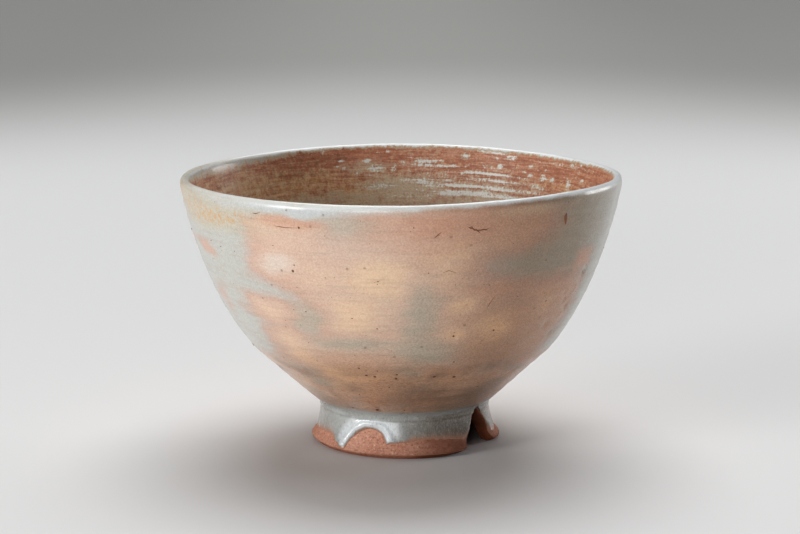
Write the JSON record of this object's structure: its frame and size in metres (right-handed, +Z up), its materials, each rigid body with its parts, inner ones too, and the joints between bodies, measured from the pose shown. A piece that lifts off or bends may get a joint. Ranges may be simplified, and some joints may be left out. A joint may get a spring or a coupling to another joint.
{
  "type": "tea bowl",
  "caption": "Hand-thrown stoneware tea bowl with a curved glazed wall, rounded lip, trimmed lower cone and a flared foot ring with a wedge cut, for whisking and drinking tea.",
  "frame": {"origin": "on the table, under the middle of the lip", "axes": "+Z up out of the bowl's mouth; +X out through the middle of the cut in the foot ring"},
  "size_m": [0.132, 0.132, 0.0814],
  "materials": {
    "clay": "bare fired clay, matt and gritty",
    "flashed_glaze": "satin glaze, pale grey flashed to peach",
    "pale_glaze": "glossy pale glaze",
    "thin_glaze": "satin, brown where thin and pale where thick",
    "foot_glaze": "glossy grey-blue glaze"
  },
  "bodies": {
    "root": {"thrown_bowl": "clay", "foot_ring": "clay", "outer_glaze": "flashed_glaze", "lip_glaze": "pale_glaze", "inner_glaze": "thin_glaze", "foot_glaze": "foot_glaze"}
  },
  "joints": []
}
